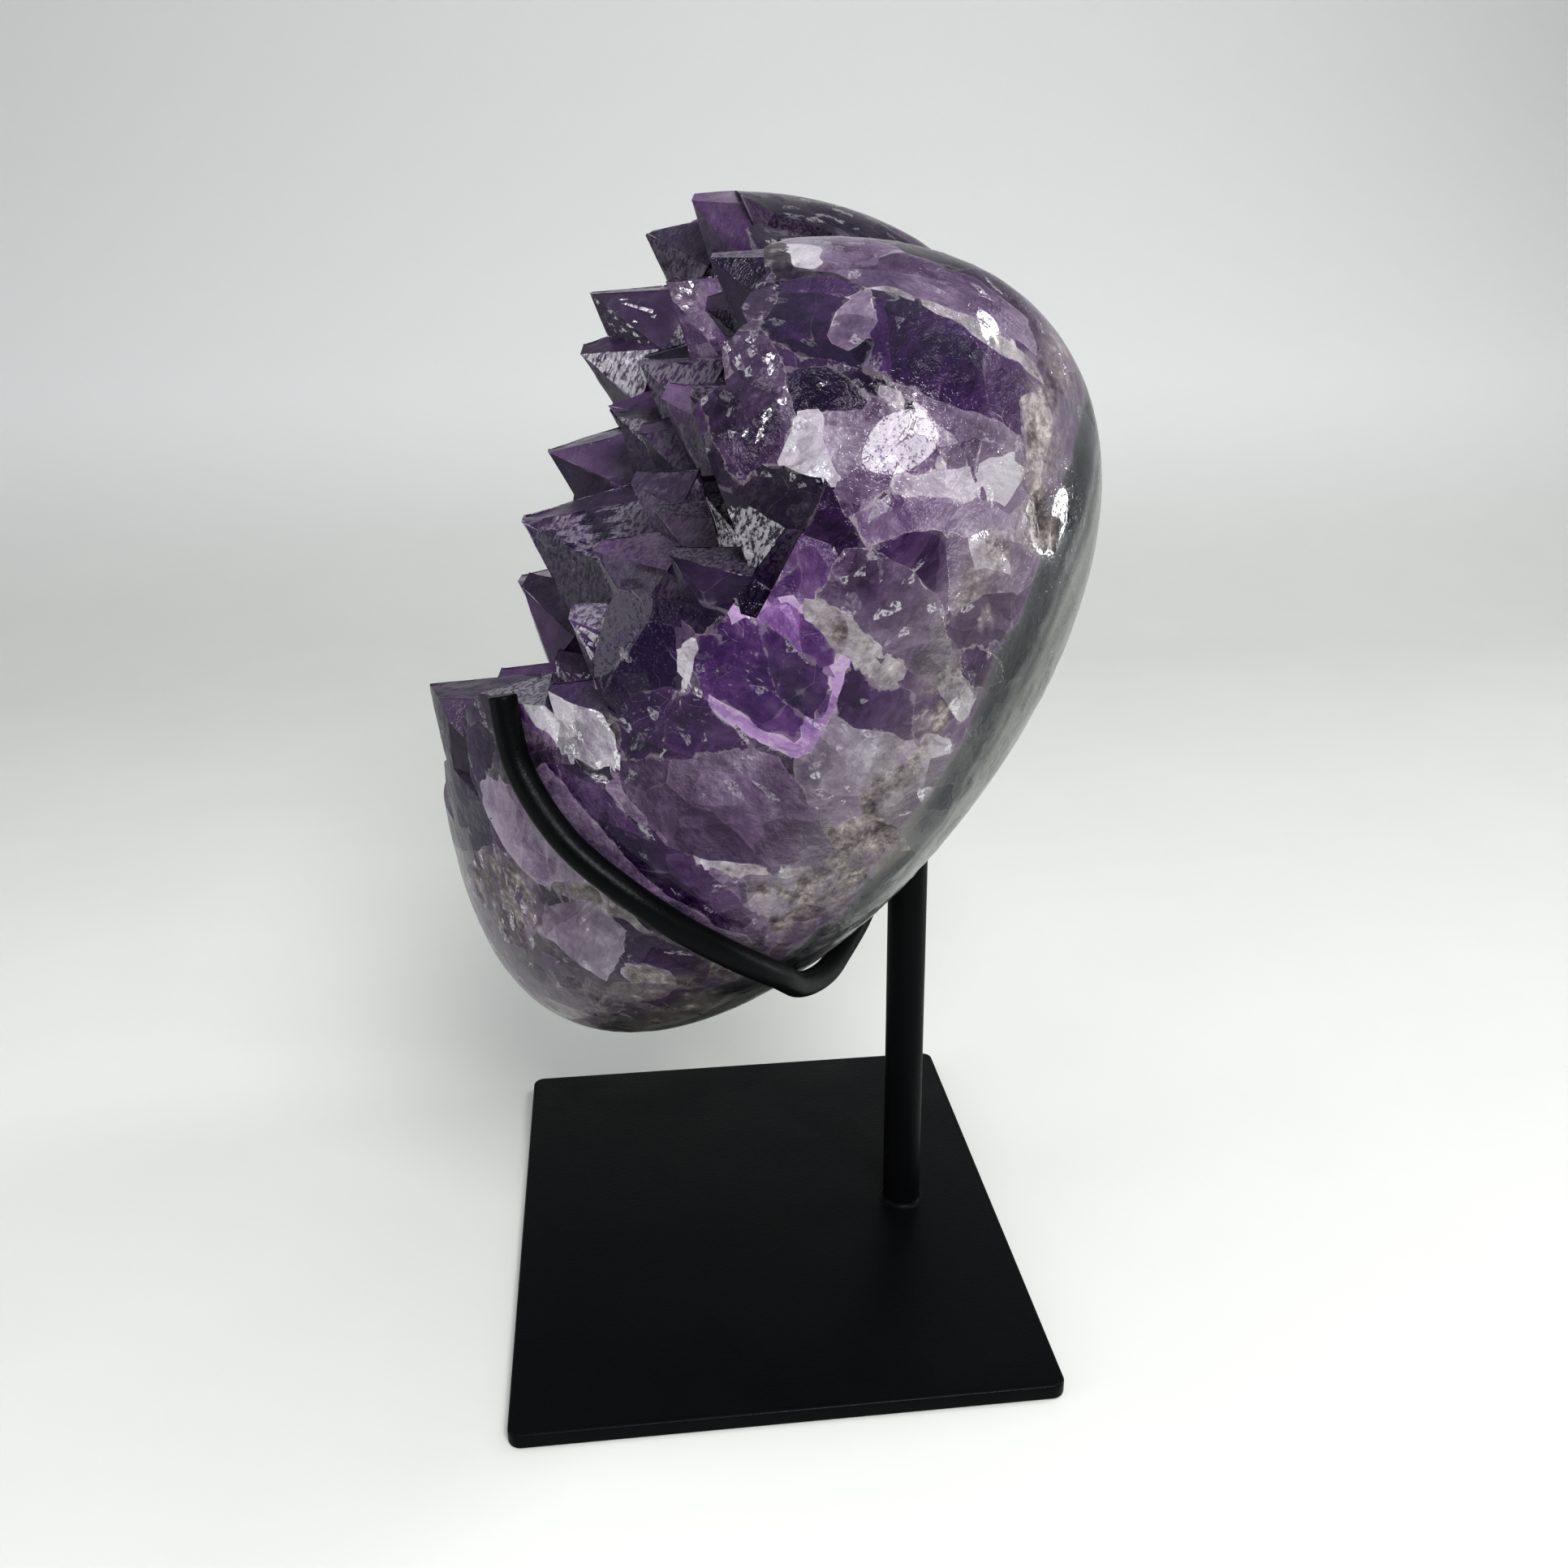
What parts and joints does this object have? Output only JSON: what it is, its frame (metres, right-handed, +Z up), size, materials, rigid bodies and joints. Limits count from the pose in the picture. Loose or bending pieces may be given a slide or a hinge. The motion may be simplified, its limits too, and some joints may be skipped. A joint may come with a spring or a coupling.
{
  "type": "crystal heart on a stand",
  "caption": "Heart of amethyst with a polished back and sides and a natural crystal face, leaning back in a bent-wire cradle on a post and flat base plate.",
  "frame": {"origin": "middle of the base plate's underside, which rests on the table", "axes": "+Z up; -Y is the side that the heart's crystal face looks toward, with the tip forward and down; +X toward the heart's own left lobe"},
  "size_m": [0.1463, 0.115, 0.2074],
  "materials": {
    "amethyst": "polished, with natural crystal faces at the front",
    "black_steel": "satin black powder coat with a fine grain"
  },
  "bodies": {
    "root": {"heart": "amethyst", "cradle_wire": "black_steel", "post": "black_steel", "base_plate": "black_steel"}
  },
  "joints": []
}
